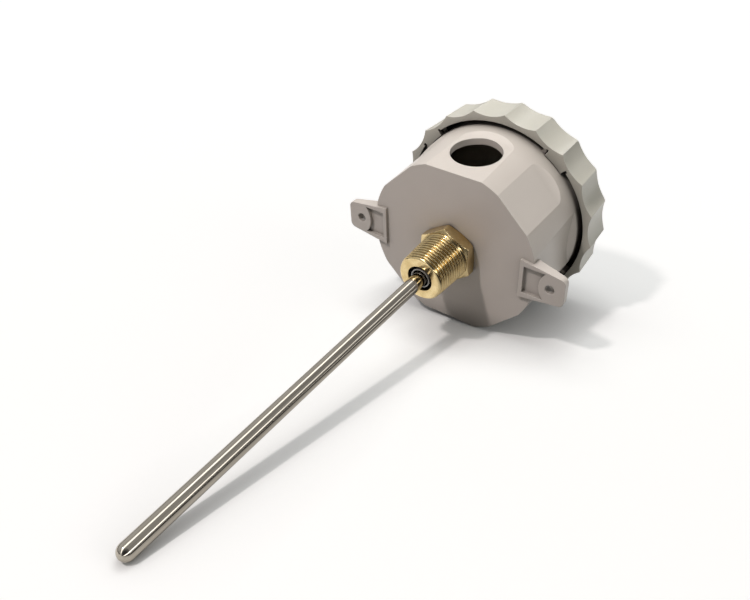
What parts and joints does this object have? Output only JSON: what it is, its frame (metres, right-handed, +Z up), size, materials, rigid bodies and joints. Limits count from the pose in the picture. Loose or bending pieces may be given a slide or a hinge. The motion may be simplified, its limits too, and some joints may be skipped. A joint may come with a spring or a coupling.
{
  "type": "temperature probe with connection head",
  "caption": "Resistance temperature probe: long steel sheath, brass pipe-thread fitting and a round plastic connection head with a scalloped bayonet cap and two mounting ears.",
  "frame": {"origin": "centre of the two ear holes' circle, on the probe's axis in the plane of the ears' faces", "axes": "+X is level and runs under the probe towards its tip, +Z is up as the probe lies on a table on two cap ridges and its tip, with the conduit opening uppermost, +Y completes the right-handed set. The probe's own axis leans 11.7 degrees below +X."},
  "size_m": [0.2338, 0.1064, 0.0938],
  "materials": {
    "shell_plastic": "light warm grey moulded plastic, satin to slightly glossy",
    "black_rubber": "matt black rubber",
    "black_potting": "black potting compound",
    "brass": "bright turned brass",
    "stainless": "polished stainless steel drawn along its length",
    "ceramic": "white alumina ceramic",
    "red_insulation": "red wire insulation",
    "white_insulation": "white wire insulation",
    "phenolic": "dark red-brown moulded phenolic",
    "terminal_brass": "plain brass bar",
    "screw_steel": "zinc plated steel"
  },
  "bodies": {
    "head": {"housing": "shell_plastic", "threaded_fitting": "brass", "sealing_washer": "black_rubber", "lock_nut": "brass", "probe_sheath": "stainless", "bore_sleeve": "stainless", "bore_potting": "black_potting", "rtd_element": "ceramic", "sheath_insulator": "ceramic", "lead_wire_1": "red_insulation", "lead_wire_2": "red_insulation", "lead_wire_3": "white_insulation", "terminal_block": "phenolic", "terminal_clamp_1": "terminal_brass", "terminal_clamp_2": "terminal_brass", "terminal_clamp_3": "terminal_brass", "terminal_screw_1": "screw_steel", "terminal_screw_2": "screw_steel", "terminal_screw_3": "screw_steel", "terminal_screw_4": "screw_steel", "terminal_screw_5": "screw_steel", "terminal_screw_6": "screw_steel", "block_screw_1": "screw_steel", "block_screw_2": "screw_steel", "block_screw_3": "screw_steel"},
    "cap": {"cap": "shell_plastic", "cap_gasket": "black_rubber"}
  },
  "joints": [
    {"name": "cap_turn", "type": "hinge", "parent": "head", "child": "cap", "pos_m": [-0.03643, 0, 0.00754], "axis": [-0.9792, 0, 0.2027], "range_deg": [0, 30]}
  ]
}
